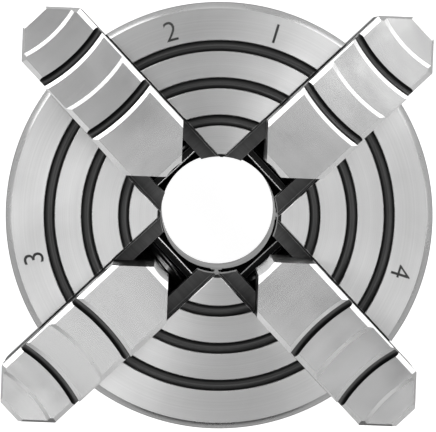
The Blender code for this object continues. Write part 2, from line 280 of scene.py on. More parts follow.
def cut(piece, tool):
    """Take a tool's shape out of a piece."""
    return combine(piece, tool, "DIFFERENCE")


def sliced(piece, point, normal):
    """Cut a piece along a plane and drop the side that the normal points to."""
    edit(piece)
    bpy.ops.mesh.bisect(plane_co=point, plane_no=normal, use_fill=True, clear_outer=True)
    bpy.ops.object.mode_set(mode="OBJECT")
    return piece


def laid_out(piece, azimuth):
    """Turn a tool or a piece from the X axis to its own place round the chuck."""
    piece.rotation_euler = (0, 0, azimuth)
    return settle(piece)


def smooth(piece, degrees=SMOOTHING):
    """Shade a piece smooth, but leave its edges sharp where they turn by more than this."""
    only(piece)
    bpy.ops.object.shade_smooth_by_angle(angle=math.radians(degrees))
    return piece


def copied(piece, name):
    """A copy with its own mesh."""
    only(piece)
    bpy.ops.object.duplicate()
    twin = bpy.context.object
    twin.name = name
    return twin


def paint(piece, materials, chooser):
    """Give each face the material that the chooser picks from its middle and normal."""
    piece.data.materials.clear()
    for material in materials:
        piece.data.materials.append(material)
    for face in piece.data.polygons:
        face.material_index = chooser(face.center, face.normal)


# Threads --------------------------------------------------------------------------------

def cap_end(piece, middle, half):
    """Close the open loop within half a span of a height, with a fan of faces to its middle."""
    edit(piece)
    bpy.ops.mesh.select_mode(type="EDGE")
    bpy.ops.mesh.select_all(action="DESELECT")
    mesh = bmesh.from_edit_mesh(piece.data)
    for edge in mesh.edges:
        height = (edge.verts[0].co.z + edge.verts[1].co.z) / 2
        if edge.is_boundary and abs(height - middle) <= half:
            edge.select_set(True)
    bmesh.update_edit_mesh(piece.data)
    bpy.ops.mesh.extrude_region_move(TRANSFORM_OT_translate={"value": (0, 0, 0)})
    bpy.ops.mesh.merge(type="CENTER")
    bpy.ops.mesh.select_mode(type="VERT")
    bpy.ops.object.mode_set(mode="OBJECT")


def thread(name, crest, root, crest_half, flank, pitch, start, end, phase, left=True):
    """An upright threaded bar that runs a little past both heights.

    One tooth's outline is swept down a helix. At the angle 0 a crest is centred at the
    height phase, and at every pitch above and below it.
    """
    near = 0.75 * pitch
    turns = math.ceil((end - start) / pitch) + 4
    top = phase + pitch * (math.floor((end - phase) / pitch) + 2)
    half = pitch / 2
    tooth = [(root, top + half), (root, top + crest_half + flank), (crest, top + crest_half),
             (crest, top - crest_half), (root, top - crest_half - flank), (root, top - half)]
    piece = outline(name, [(radius, 0, height) for radius, height in tooth])
    edit(piece)
    bpy.ops.mesh.delete(type="ONLY_FACE")
    edit(piece)
    mesh = bmesh.from_edit_mesh(piece.data)
    for edge in mesh.edges:
        edge.select_set(abs(edge.verts[0].co.z - edge.verts[1].co.z) > pitch - WELD)
    bmesh.update_edit_mesh(piece.data)
    bpy.ops.mesh.delete(type="EDGE")
    bpy.ops.object.mode_set(mode="OBJECT")
    apply(piece, "SCREW", steps=THREAD_STEPS, render_steps=THREAD_STEPS, iterations=turns,
          screw_offset=-pitch, angle=math.tau if left else -math.tau, use_merge_vertices=False)
    tidy(piece)
    cap_end(piece, top, near)
    cap_end(piece, top - pitch * turns, near)
    return tidy(piece)


def laid_along(piece, azimuth, height):
    """Lay an upright piece along its jaw's slot, its foot at the chuck's axis."""
    piece.rotation_euler = (QUARTER, 0, QUARTER + azimuth)
    piece.location = (0, 0, height)
    return settle(piece)


def slot_axis(number):
    """The direction of a jaw's slot."""
    azimuth = number * QUARTER
    return Vector((math.cos(azimuth), math.sin(azimuth), 0))


def nose_radius(number):
    """How far a jaw's nose stands from the chuck's axis."""
    axis = slot_axis(number)
    return min(abs(corner.dot(axis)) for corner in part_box(f"jaw_{number + 1}"))


# Body -----------------------------------------------------------------------------------

def groove_points(middle):
    """A face groove's round-bottomed section, from its outer edge to its inner edge."""
    points = [(middle + GROOVE_HALF + EDGE_BREAK, FACE)]
    for step in range(GROOVE_STEPS + 1):
        angle = math.pi * step / GROOVE_STEPS
        depth = EDGE_BREAK + (GROOVE_DEPTH - EDGE_BREAK) * math.sin(angle) ** GROOVE_FULLNESS
        points.append((middle + GROOVE_HALF * math.cos(angle), FACE - depth))
    return points + [(middle - GROOVE_HALF - EDGE_BREAK, FACE)]


def body_profile():
    """The body's half section: rear face, outside, front face with its grooves, and bore."""
    points = [
        (REGISTER_RADIUS + REGISTER_CHAMFER, 0),
        (BODY_RADIUS - REAR_CHAMFER, 0),
        (BODY_RADIUS, REAR_CHAMFER),
        (BODY_RADIUS, FACE - FRONT_CHAMFER * BEVEL_SLOPE - RIM_FALL),
        (BODY_RADIUS - RIM_BREAK, FACE - (FRONT_CHAMFER - RIM_BREAK) * BEVEL_SLOPE),
        (BODY_RADIUS - FRONT_CHAMFER, FACE),
    ]
    for number in range(GROOVE_COUNT):
        points += groove_points(BODY_RADIUS - GROOVE_INSET - number * GROOVE_SPACING)
    points += [
        (BORE_RADIUS + BORE_CHAMFER, FACE),
        (BORE_RADIUS, FACE - BORE_CHAMFER),
        (BORE_RADIUS, REGISTER_DEPTH + BORE_CHAMFER),
        (BORE_RADIUS + BORE_CHAMFER, REGISTER_DEPTH),
        (REGISTER_RADIUS, REGISTER_DEPTH),
        (REGISTER_RADIUS, REGISTER_CHAMFER),
    ]
    return points


def slot_cutter(azimuth):
    """The T-shaped section of a jaw slot, with its edges broken, right across the body."""
    wide, narrow, broken = SLOT_HALF, RIB_OPENING_HALF, EDGE_BREAK
    side = [
        (wide, SLOT_FLOOR),
        (wide, RIB_BOTTOM),
        (narrow + broken, RIB_BOTTOM),
        (narrow, RIB_BOTTOM + broken),
        (narrow, RIB_TOP - broken),
        (narrow + broken, RIB_TOP),
        (wide - CORNER_RELIEF, RIB_TOP),
        (wide - CORNER_RELIEF, RIB_TOP - CORNER_RELIEF),
        (wide, RIB_TOP - CORNER_RELIEF),
        (wide, FACE - broken),
        (wide + broken + BEYOND, FACE + BEYOND),
    ]
    section = side + [(-y, z) for y, z in reversed(side)]
    reach = BODY_RADIUS + BEYOND
    tool = extruded("slot", [(-reach, y, z) for y, z in section], (2 * reach, 0, 0))
    return laid_out(tool, azimuth)


def web_cutter(azimuth):
    """The bevel at the inner end of a slot's floor, over the wall of the bore."""
    inside = BORE_RADIUS - WEB_REACH
    drop = WEB_EDGE - inside
    section = [(WEB_EDGE + WEB_FACET, SLOT_FLOOR), (WEB_EDGE, SLOT_FLOOR - WEB_FACET / 2),
               (inside, SLOT_FLOOR - drop), (inside, SLOT_FLOOR + EDGE_BREAK),
               (WEB_EDGE + WEB_FACET, SLOT_FLOOR + EDGE_BREAK)]
    width = SLOT_HALF - EDGE_BREAK
    tool = extruded("web", [(x, -width, z) for x, z in section], (0, 2 * width, 0))
    return laid_out(tool, azimuth)


def number_cutter(number, azimuth):
    """A plain figure, read from the chuck's axis, to be stamped into the face."""
    only(None)
    bpy.ops.object.text_add()
    figure = bpy.context.object
    figure.data.body = str(number + 1)
    figure.data.size = NUMBER_SIZE
    figure.data.align_x = "CENTER"
    figure.data.align_y = "CENTER"
    figure.data.extrude = NUMBER_DEPTH
    bpy.ops.object.convert(target="MESH")
    figure = bpy.context.object
    figure.rotation_euler = (0, 0, azimuth - QUARTER)
    figure.location = (NUMBER_RADIUS * math.cos(azimuth), NUMBER_RADIUS * math.sin(azimuth), FACE)
    settle(figure)
    return tidy(figure)


def body_face(middle, normal):
    """0 the turned outside, 1 ring grooves and figures with painted shade, 2 broken edges with a
    painted highlight, 3 ribs with painted shade, 4 pockets with painted shade.
    """
    radius = math.hypot(middle.x, middle.y)
    broken = BROKEN_LOW < normal.z < BROKEN_HIGH
    if radius > BODY_RADIUS - FRONT_CHAMFER - WELD or middle.z < REGISTER_DEPTH + WELD:
        return 2 if broken else 0
    if middle.z > FACE - WELD:
        return 0
    if middle.z > FACE - GROOVE_DEPTH - WELD and radius > BORE_RADIUS + BORE_CHAMFER:
        return 2 if middle.z > FACE - EDGE_BREAK and broken else 1
    if SLOT_FLOOR - WEB_FACET < middle.z < SLOT_FLOOR and radius < WEB_EDGE + BEYOND:
        return 2 if normal.z > WEB_FACET_LOW else 4
    if middle.z > RIB_TOP - CORNER_RELIEF:
        return 3
    return 4


def make_body(*finishes):
    """The turned body with its slots, screw and fork bores, bolt holes and stamped figures."""
    body = turned("body", body_profile(), BODY_STEPS)
    for azimuth in (0, QUARTER):
        cut(body, slot_cutter(azimuth))
    for number in range(4):
        azimuth = number * QUARTER
        cut(body, web_cutter(azimuth))
        bore = drill("screw_bore", SCREW_RADIUS + RUNNING_GAP, SCREW_START - RUNNING_GAP,
                     BODY_RADIUS + BEYOND)
        cut(body, laid_along(bore, azimuth, SCREW_HEIGHT))
        fork_bore = drill("fork_bore", FORK_RADIUS + RUNNING_GAP, REGISTER_DEPTH - BEYOND,
                          SCREW_HEIGHT, (FORK_PLACE, 0))
        cut(body, laid_out(fork_bore, azimuth))
        bolt_hole = drill("bolt_hole", BOLT_HOLE_RADIUS, -BEYOND, BOLT_HOLE_DEPTH, (BOLT_CIRCLE, 0),
                          BOLT_HOLE_SIDES)
        cut(body, laid_out(bolt_hole, azimuth + QUARTER / 2))
        cut(body, number_cutter(number, math.radians(NUMBER_ANGLES[number])))
    paint(body, finishes, body_face)
    body.name = "chuck_body_detail"
    return smooth(body)


# Jaws -----------------------------------------------------------------------------------

def step_sweep(number):
    """What turning takes off outside one hollow riser: relief, seat, slope and land."""
    riser, radius = RISERS[number], RISER_RADII[number]
    seat = JAW_TOP - (number + 1) * STEP_HEIGHT
    top = seat + STEP_HEIGHT - (LAND_DROP if number else 0)
    land = seat - LAND_DROP
    slope = radius - SEAT_LENGTH
    points = [(0, land), (slope, land), (slope + LAND_SLOPE, seat), (radius - RELIEF_OUTER, seat)]
    middle = radius + (RELIEF_INNER - RELIEF_OUTER) / 2
    half = (RELIEF_INNER + RELIEF_OUTER) / 2
    for step in range(1, RELIEF_STEPS):
        angle = math.pi * (1 - step / RELIEF_STEPS)
        points.append((middle + half * math.cos(angle), seat - RELIEF_DEPTH * math.sin(angle)))
    points += [(radius + RELIEF_INNER, seat), (radius, seat + RELIEF_INNER),
               (radius, top - STEP_BEVEL * BEVEL_SLOPE),
               (radius + STEP_BEVEL + BEYOND, top + BEYOND * BEVEL_SLOPE),
               (0, top + BEYOND * BEVEL_SLOPE)]
    return turned("sweep", points, SWEEP_STEPS, (riser + radius, 0))


def side_wedge(side, start, end, top):
    """A wedge that bevels a tier's top edge along one side."""
    edge = JAW_HALF - SIDE_BEVEL
    fall = BEYOND * BEVEL_SLOPE
    points = [(start, side * (edge - BEYOND), top + fall),
              (start, side * (edge + BEYOND), top + fall),
              (start, side * (edge + BEYOND), top - fall)]
    return extruded("wedge", points, (end - start, 0, 0))


def corner_wedge(side):
    """A small wedge that bevels the top of an outer corner."""
    level = JAW_TOP - 2 * STEP_HEIGHT - LAND_DROP
    slant = math.sqrt(0.5)
    away = Vector((slant, side * slant, 0))
    along = Vector((-slant, side * slant, 0))
    corner = Vector((JAW_LENGTH, side * END_HALF, level)) - along * BEYOND
    rise = Vector((0, 0, CORNER_REACH))
    points = [corner - away * (CORNER_BEVEL + CORNER_REACH) + rise,
              corner + away * CORNER_REACH + rise,
              corner + away * CORNER_REACH - rise - Vector((0, 0, CORNER_BEVEL))]
    return extruded("corner", points, along * 4 * BEYOND)


def rib_cutter(side):
    """The groove in a jaw's side that a rib of the slot runs in."""
    near, far = side * NECK_HALF, side * (JAW_HALF + BEYOND)
    low = (-BEYOND, min(near, far), RIB_BOTTOM - RUNNING_GAP)
    high = (JAW_LENGTH + BEYOND, max(near, far), RIB_TOP + RUNNING_GAP)
    return block("rib", low, high)


def serration(side, level):
    """A fine level notch across the corner between the nose and its flank."""
    slant = math.sqrt(0.5)
    along = Vector((slant, side * slant, 0))
    outward = Vector((-slant, side * slant, 0))
    corner = Vector((0, side * NOSE_HALF, level))
    depth = outward * SERRATION_DEPTH
    half = Vector((0, 0, 2 * SERRATION_DEPTH))
    start = corner - along * SERRATION_DEPTH
    points = [start - depth, start + depth + half, start + depth - half]
    return extruded("serration", points, along * (SERRATION_LENGTH + SERRATION_DEPTH))


def jaw_face(middle, normal):
    """0 ground tops, 1 ground sides, 2 bevels with a painted highlight, 3 undersides and thread with
    painted shade, 4 reliefs with painted shade.
    """
    seat = JAW_TOP
    for riser, radius in zip(RISERS, RISER_RADII):
        seat -= STEP_HEIGHT
        reach = math.hypot(middle.x - riser - radius, middle.y)
        inside = radius - RELIEF_OUTER - WELD < reach < radius + RELIEF_INNER + WELD
        if inside and seat - RELIEF_DEPTH - WELD < middle.z < seat - WELD:
            return 4
    if middle.z < RIB_TOP + 2 * RUNNING_GAP:
        return 1 if abs(middle.y) > JAW_HALF - WELD or middle.x > JAW_LENGTH - NECK_HALF else 3
    if abs(normal.z) > LEVEL:
        return 0
    return 2 if abs(normal.z) > UPRIGHT else 1


def model_jaw(*finishes):
    """The jaw, its nose at the chuck's axis and its length along +X."""
    jaw = block("jaw", (0, -JAW_HALF, JAW_BOTTOM), (JAW_LENGTH, JAW_HALF, JAW_TOP))
    tops = (JAW_TOP, JAW_TOP - STEP_HEIGHT, JAW_TOP - 2 * STEP_HEIGHT)
    starts = (-BEYOND, RISERS[0] + RELIEF_OUTER / 2, RISERS[1] + RELIEF_OUTER / 2)
    ends = (RISERS[0] + RELIEF_OUTER, RISERS[1] + RELIEF_OUTER, JAW_LENGTH + BEYOND)
    for number in range(2):
        cut(jaw, step_sweep(number))
    for side in (-1, 1):
        for start, end, top in zip(starts, ends, tops):
            cut(jaw, side_wedge(side, start, end, top))
    sliced(jaw, (NOSE_BEVEL, 0, JAW_TOP), (-BEVEL_SLOPE, 0, 1))
    sliced(jaw, (JAW_LENGTH - END_BEVEL, 0, tops[2] - LAND_DROP), (BEVEL_SLOPE, 0, 1))
    for side in (-1, 1):
        sliced(jaw, (0, side * NOSE_HALF, 0), (-1, side, 0))
        sliced(jaw, (JAW_LENGTH, side * END_HALF, 0), (1, side, 0))
        cut(jaw, corner_wedge(side))
        cut(jaw, rib_cutter(side))
    hollow_radius = (NOSE_HALF ** 2 + NOSE_HOLLOW ** 2) / (2 * NOSE_HOLLOW)
    cut(jaw, drill("hollow", hollow_radius, 0, JAW_TOP + BEYOND, (NOSE_HOLLOW - hollow_radius, 0),
                   SWEEP_STEPS))
    highest = JAW_TOP - NOSE_BEVEL - FIRST_SERRATION
    for side in (-1, 1):
        for number in range(SERRATIONS):
            cut(jaw, serration(side, highest - number * SERRATION_SPACING))
    nut = thread("nut", SCREW_RADIUS + RUNNING_GAP, SCREW_RADIUS - THREAD_DEPTH + RUNNING_GAP,
                 THREAD_CREST_HALF + RUNNING_GAP, THREAD_FLANK, SCREW_PITCH, 0, JAW_LENGTH, 0)
    cut(jaw, laid_along(nut, 0, SCREW_HEIGHT))
    paint(jaw, finishes, jaw_face)
    return smooth(jaw, JAW_SMOOTHING)


# Screws ---------------------------------------------------------------------------------

def model_screw(number, steel):
    """A threaded screw lying in its slot, with a plain neck and a square key socket."""
    root = SCREW_RADIUS - THREAD_DEPTH
    screw = thread("screw", SCREW_RADIUS, root, THREAD_CREST_HALF, THREAD_FLANK, SCREW_PITCH,
                   SCREW_START, SCREW_END, nose_radius(number))
    clear = SCREW_RADIUS + RUNNING_GAP
    slope = RUNNING_GAP + END_CHAMFER
    neck_start, neck_end = FORK_PLACE - NECK_LENGTH / 2, FORK_PLACE + NECK_LENGTH / 2
    blank = turned("blank", [
        (0, SCREW_START), (clear - slope, SCREW_START), (clear, SCREW_START + slope),
        (clear, neck_start), (NECK_RADIUS, neck_start), (NECK_RADIUS, neck_end),
        (clear, neck_end), (clear, SCREW_END - slope), (clear - slope, SCREW_END),
        (0, SCREW_END)], THREAD_STEPS)
    combine(screw, blank, "INTERSECT")
    half = KEY_SOCKET / 2
    low, high = (-half, -half, SCREW_END - KEY_SOCKET_DEPTH), (half, half, SCREW_END + BEYOND)
    cut(screw, block("socket", low, high))
    bottom = SCREW_END - END_CHAMFER
    cut(screw, turned("mouth", [
        (0, bottom), (KEY_SOCKET_MOUTH, bottom), (KEY_SOCKET_MOUTH + BEYOND, bottom + BEYOND),
        (0, bottom + BEYOND)], THREAD_STEPS))
    laid_along(screw, number * QUARTER, SCREW_HEIGHT)
    paint(screw, (steel,), lambda middle, normal: 0)
    return smooth(screw)


def model_grub_screw(steel):
    """A hexagon-socket grub screw, standing in its bore from the rear."""
    outer, root = FORK_RADIUS, FORK_RADIUS - GRUB_THREAD_DEPTH
    grub = thread("grub", outer, root, GRUB_CREST_HALF, GRUB_FLANK, GRUB_PITCH, GRUB_BOTTOM,
                  GRUB_TOP, GRUB_BOTTOM, left=False)
    clear = outer + RUNNING_GAP
    slope = END_CHAMFER + RUNNING_GAP
    blank = turned("blank", [
        (0, GRUB_BOTTOM), (clear - slope, GRUB_BOTTOM), (clear, GRUB_BOTTOM + slope),
        (clear, GRUB_TOP - slope), (clear - slope, GRUB_TOP), (0, GRUB_TOP)], THREAD_STEPS)
    combine(grub, blank, "INTERSECT")
    flats = HEX_SOCKET / 2 / math.cos(math.pi / 6)
    cut(grub, drill("socket", flats, GRUB_BOTTOM - BEYOND, GRUB_BOTTOM + HEX_SOCKET_DEPTH, sides=6))
    grub.location = (FORK_PLACE, 0, 0)
    settle(grub)
    paint(grub, (steel,), lambda middle, normal: 0)
    return smooth(grub)


# Materials ------------------------------------------------------------------------------

TURNING_FEED = 0.3 * MM
GRINDING_FEED = 0.25 * MM
MARK_DEPTH = 0.004 * MM
BROAD_RINGS = 0.11
BROAD_SCRATCHES = 0.15
SCRATCH_STRETCH = 0.02
PATCHES_PER_METRE = 90.0
CHIPS_PER_METRE = 400.0
SMUDGE_SIZE = 12 * MM
WEAR_REACH = 0.2 * MM
WAVE_SIZE = 22 * MM
FILM_DARKENING = 0.12
FILM_SHADE = 0.6
DULLING = 0.08
MARK_DULLING = 0.06
ACROSS_THE_RINGS = 0.25

# Places of a Mix node's colour inputs and of its colour and vector outputs
MIX_FIRST = 6
MIX_SECOND = 7
MIX_COLOUR = 2
MIX_VECTOR = 1


def wire(tree, source, socket):
    """Feed a socket from another node's output or with a plain value."""
    if isinstance(source, bpy.types.NodeSocket):
        tree.links.new(source, socket)
    else:
        socket.default_value = source


def node(tree, kind, feeds=None, **settings):
    """Add a shader node with its settings and with what its sockets are fed."""
    new = tree.nodes.new("ShaderNode" + kind)
    for name, value in settings.items():
        setattr(new, name, value)
    for name, source in (feeds or {}).items():
        wire(tree, source, new.inputs[name])
    return new


def sums(tree, operation, *sources):
    """The result of a Math node."""
    return node(tree, "Math", dict(enumerate(sources)), operation=operation).outputs[0]


def spread(tree, source, low, high, start=0.0, end=1.0):
    """A value's range from start to end, laid on the range from low to high."""
    feeds = {"Value": source, "From Min": start, "From Max": end, "To Min": low, "To Max": high}
    return node(tree, "MapRange", feeds).outputs["Result"]


def blended(tree, factor, first, second):
    """Two colours mixed by a mask."""
    feeds = {"Factor": factor, MIX_FIRST: first, MIX_SECOND: second}
    return node(tree, "Mix", feeds, data_type="RGBA").outputs[MIX_COLOUR]


def effect(name, inputs, outputs):
    """A node group with value inputs and outputs: its tree, its inputs and its output node."""
    tree = bpy.data.node_groups.new(name, "ShaderNodeTree")
    for label, value in inputs.items():
        socket = tree.interface.new_socket(label, in_out="INPUT", socket_type="NodeSocketFloat")
        socket.default_value = value
    for label in outputs:
        tree.interface.new_socket(label, in_out="OUTPUT", socket_type="NodeSocketFloat")
    return tree, tree.nodes.new("NodeGroupInput").outputs, tree.nodes.new("NodeGroupOutput").inputs


def turning_marks():
    """Fine rings about the chuck's axis, on its face and round its rim alike."""
    tree, given, result = effect("turning_marks", {"Feed": TURNING_FEED}, ("Height", "Tone"))
    place = node(tree, "TexCoord").outputs["Object"]
    flat = node(tree, "VectorMath", {0: place, 1: (1, 1, 0)}, operation="MULTIPLY").outputs[0]
    radius = node(tree, "VectorMath", {0: flat}, operation="LENGTH").outputs["Value"]
    height = node(tree, "SeparateXYZ", {0: place}).outputs["Z"]
    travel = sums(tree, "DIVIDE", sums(tree, "ADD", radius, height), given["Feed"])
    fine = node(tree, "TexNoise", {"W": travel, "Scale": 1.0, "Detail": 3.0, "Roughness": 0.7},
                noise_dimensions="1D").outputs[0]
    broad = node(tree, "TexNoise", {"W": travel, "Scale": BROAD_RINGS, "Detail": 1.0},
                 noise_dimensions="1D").outputs[0]
    patches = {"Vector": place, "Scale": PATCHES_PER_METRE, "Detail": 2.0}
    strength = spread(tree, node(tree, "TexNoise", patches).outputs[0], 0.4, 1.0, 0.3, 0.7)
    rings = sums(tree, "MULTIPLY", sums(tree, "SUBTRACT", fine, 0.5), strength)
    wire(tree, sums(tree, "ADD", rings, 0.5), result["Height"])
    both = sums(tree, "ADD", rings, sums(tree, "MULTIPLY", sums(tree, "SUBTRACT", broad, 0.5), 0.4))
    wire(tree, sums(tree, "ADD", both, 0.5), result["Tone"])
    return tree


def grinding_marks():
    """Fine straight scratches across each jaw, which lies along the X or the Y axis."""
    tree, given, result = effect("grinding_marks", {"Feed": GRINDING_FEED}, ("Height", "Tone"))
    place = node(tree, "TexCoord").outputs["Object"]
    axes = node(tree, "SeparateXYZ", {0: place}).outputs
    along_y = sums(tree, "GREATER_THAN", sums(tree, "ABSOLUTE", axes["Y"]),
                   sums(tree, "ABSOLUTE", axes["X"]))
    straight = node(tree, "CombineXYZ", {"X": axes["X"], "Y": axes["Y"], "Z": axes["Z"]}).outputs[0]
    crossed = node(tree, "CombineXYZ", {"X": axes["Y"], "Y": axes["X"], "Z": axes["Z"]}).outputs[0]
    own = node(tree, "Mix", {"Factor": along_y, "A": straight, "B": crossed},
               data_type="VECTOR").outputs[MIX_VECTOR]
    stretch = (1, SCRATCH_STRETCH, 1)
    stretched = node(tree, "VectorMath", {0: own, 1: stretch}, operation="MULTIPLY").outputs[0]
    scale = sums(tree, "DIVIDE", 1.0, given["Feed"])
    scaled = node(tree, "VectorMath", {0: stretched, "Scale": scale}, operation="SCALE").outputs[0]
    fine = node(tree, "TexNoise", {"Vector": scaled, "Scale": 1.0, "Detail": 3.0}).outputs[0]
    broad = node(tree, "TexNoise", {"Vector": scaled, "Scale": BROAD_SCRATCHES,
                                    "Detail": 2.0}).outputs[0]
    wire(tree, fine, result["Height"])
    wire(tree, sums(tree, "MULTIPLY", sums(tree, "ADD", fine, broad), 0.5), result["Tone"])
    return tree


def smudges():
    """Soft patches where an oil film or handling has dulled the surface."""
    tree, given, result = effect("smudges", {"Size": SMUDGE_SIZE}, ("Amount",))
    place = node(tree, "TexCoord").outputs["Object"]
    scale = sums(tree, "DIVIDE", 1.0, given["Size"])
    patches = node(tree, "TexNoise", {"Vector": place, "Scale": scale, "Detail": 3.0,
                                      "Roughness": 0.55, "Distortion": 0.6}).outputs[0]
    wire(tree, spread(tree, patches, 0.0, 1.0, 0.35, 0.7), result["Amount"])
    return tree


def edge_wear():
    """A mask of the edges, where handling has rubbed the steel bright."""
    tree, given, result = effect("edge_wear", {"Reach": WEAR_REACH}, ("Mask",))
    rounded = node(tree, "Bevel", {"Radius": given["Reach"]}, samples=4).outputs[0]
    true = node(tree, "NewGeometry").outputs["Normal"]
    match = node(tree, "VectorMath", {0: rounded, 1: true}, operation="DOT_PRODUCT").outputs["Value"]
    place = node(tree, "TexCoord").outputs["Object"]
    broken = node(tree, "TexNoise", {"Vector": place, "Scale": CHIPS_PER_METRE,
                                     "Detail": 2.0}).outputs[0]
    edge = spread(tree, match, 1.0, 0.0, 0.8, 0.99)
    wire(tree, sums(tree, "MULTIPLY", edge, spread(tree, broken, 0.3, 1.0, 0.3, 0.6)), result["Mask"])
    return tree


TURNING, GRINDING, SMUDGES, EDGE_WEAR = turning_marks(), grinding_marks(), smudges(), edge_wear()


def placed(tree, effect_group, **values):
    """Put an effect into a material with its own values, and give its outputs."""
    new = tree.nodes.new("ShaderNodeGroup")
    new.node_tree = effect_group
    for name, value in values.items():
        new.inputs[name.capitalize()].default_value = value
    return new.outputs


def grey(value):
    """A neutral colour."""
    return (value, value, value, 1)


def steel(name, dark, light, roughness, marks=GRINDING, feed=GRINDING_FEED, depth=MARK_DEPTH,
          worn=None, anisotropy=0.0, waviness=0.0):
    """Machined steel, whose tone and sheen follow its tool marks, smudges and worn edges."""
    material = bpy.data.materials.new(name)
    material.use_nodes = True
    tree = material.node_tree
    shader = tree.nodes["Principled BSDF"]
    shader.inputs["Metallic"].default_value = 1.0
    marked = placed(tree, marks, feed=feed)
    dulled = placed(tree, SMUDGES, size=SMUDGE_SIZE)["Amount"]
    tone = blended(tree, spread(tree, marked["Tone"], 0.0, 1.0, 0.25, 0.75), grey(dark), grey(light))
    film = sums(tree, "MULTIPLY", dulled, FILM_DARKENING)
    filmed = blended(tree, film, tone, grey(dark * FILM_SHADE))
    edges = placed(tree, EDGE_WEAR, reach=WEAR_REACH)["Mask"]
    wire(tree, blended(tree, edges, filmed, grey(worn or light)), shader.inputs["Base Color"])
    sheen = sums(tree, "ADD", roughness, sums(tree, "MULTIPLY", dulled, DULLING))
    wire(tree, sums(tree, "ADD", sheen, sums(tree, "MULTIPLY", marked["Tone"], MARK_DULLING)),
         shader.inputs["Roughness"])
    place = node(tree, "TexCoord").outputs["Object"]
    waves = node(tree, "TexNoise", {"Vector": place, "Scale": 1 / WAVE_SIZE, "Detail": 0.5}).outputs[0]
    wavy = node(tree, "Bump", {"Height": waves, "Distance": waviness, "Strength": 1.0}).outputs[0]
    marks_bump = {"Height": marked["Height"], "Distance": depth, "Strength": 1.0, "Normal": wavy}
    wire(tree, node(tree, "Bump", marks_bump).outputs["Normal"], shader.inputs["Normal"])
    if anisotropy:
        shader.inputs["Anisotropic"].default_value = anisotropy
        shader.inputs["Anisotropic Rotation"].default_value = ACROSS_THE_RINGS
        round_axis = node(tree, "Tangent", direction_type="RADIAL", axis="Z").outputs[0]
        wire(tree, round_axis, shader.inputs["Tangent"])
    return material


turned_steel = steel("turned_steel", 0.56, 0.64, 0.3, TURNING, TURNING_FEED, 0.0015 * MM,
                     anisotropy=0.85, waviness=0.2 * MM)
ground_top = steel("ground_top", 0.58, 0.64, 0.12, depth=0.001 * MM, waviness=0.25 * MM)
ground_side = steel("ground_side", 0.5, 0.6, 0.22, depth=0.002 * MM)
# A lighter steel on the bevels and broken edges than on the faces beside them: a painted highlight.
bright_steel_painted_highlight = steel("bright_steel_painted_highlight", 0.75, 0.85, 0.2, depth=0.001 * MM)
# Near-black steel in the face's ring grooves and stamped figures: painted shade in the recesses.
groove_steel_painted_shade = steel("groove_steel_painted_shade", 0.03, 0.08, 0.34, TURNING, worn=0.5)
# Near-black steel on the slots' ribs and the walls above them: painted shade below the face.
rib_steel_painted_shade = steel("rib_steel_painted_shade", 0.05, 0.1, 0.4, worn=0.4)
# Near-black steel in the relief grooves at the foot of the jaws' risers: painted shade.
relief_steel_painted_shade = steel("relief_steel_painted_shade", 0.05, 0.1, 0.3, worn=0.5)
# Almost black steel in the body's pockets and bores and on the jaws' undersides and thread: painted
# shade inside the slots.
dark_steel_painted_shade = steel("dark_steel_painted_shade", 0.006, 0.018, 0.36, worn=0.15)
screw_steel = steel("screw_steel", 0.16, 0.3, 0.24, worn=0.5)

# Pieces ---------------------------------------------------------------------------------

body = make_body(turned_steel, groove_steel_painted_shade, bright_steel_painted_highlight, rib_steel_painted_shade, dark_steel_painted_shade)
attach(body, "housing")
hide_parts("chuck_body")

pattern_jaw = model_jaw(ground_top, ground_side, bright_steel_painted_highlight, dark_steel_painted_shade, relief_steel_painted_shade)
pattern_grub = model_grub_screw(screw_steel)
for number in range(4):
    azimuth = number * QUARTER
    jaw = copied(pattern_jaw, f"jaw_{number + 1}_detail")
    jaw.location = slot_axis(number) * nose_radius(number)
    jaw.rotation_euler = (0, 0, azimuth)
    settle(jaw)
    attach(jaw, f"jaw_{number + 1}")
    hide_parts(f"jaw_{number + 1}")
    screw = model_screw(number, screw_steel)
    screw.name = f"operating_screw_{number + 1}_detail"
    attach(screw, f"screw_{number + 1}")
    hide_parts(f"operating_screw_{number + 1}")
    grub = laid_out(copied(pattern_grub, f"fork_grub_screw_{number + 1}_detail"), azimuth)
    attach(grub, "housing")
    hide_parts(f"fork_grub_screw_{number + 1}")
    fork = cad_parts[f"thrust_fork_{number + 1}"]
    fork.data.materials.clear()
    fork.data.materials.append(screw_steel)
for pattern in (pattern_jaw, pattern_grub):
    bpy.data.objects.remove(pattern, do_unlink=True)

# Studio ---------------------------------------------------------------------------------

CAMERA_DISTANCE = 640 * MM
CAMERA_LEFT = 7 * MM
CAMERA_UP = 27.5 * MM
VIEW_WIDTH = 81.5 * MM
AIM_LEFT = 0.25 * MM
SENSOR = 36.0
VIEW_TURN = math.radians(-42.8)
FLOOR_SIZE = 6.0
PAPER_TONE = 0.6
PAPER_ROUGHNESS = 0.9
PAPER_GLOW = 0.95
AIR_LIGHT = 0.38
LIGHT_DISTANCE = 900 * MM
LARGE_SOFTBOX = 280 * MM
SMALL_SOFTBOX = 80 * MM
BORE_LIGHT = 1.2
CARD_AZIMUTH = 270
CARD_DISTANCE = 400 * MM
CARD_WIDTH = 340 * MM
CARD_HEIGHT = 280 * MM
FELT_TONE = 0.01

# Large softboxes by their height above the face, each with its azimuth and brightness.
# The low row draws the bevels and the rim bright, and the high ones light the turned face.
SOFTBOX_ROWS = {
    10: ((0, 0.6), (28, 0.9), (43, 1.3), (58, 1.4), (90, 0.5), (118, 1.6), (133, 1.9), (148, 1.6),
         (180, 0.6), (223, 0.55), (313, 0.45)),
    28: ((45, 1.5),),
    66: ((45, 4.2), (180, 3.0), (225, 2.2), (315, 2.6)),
}

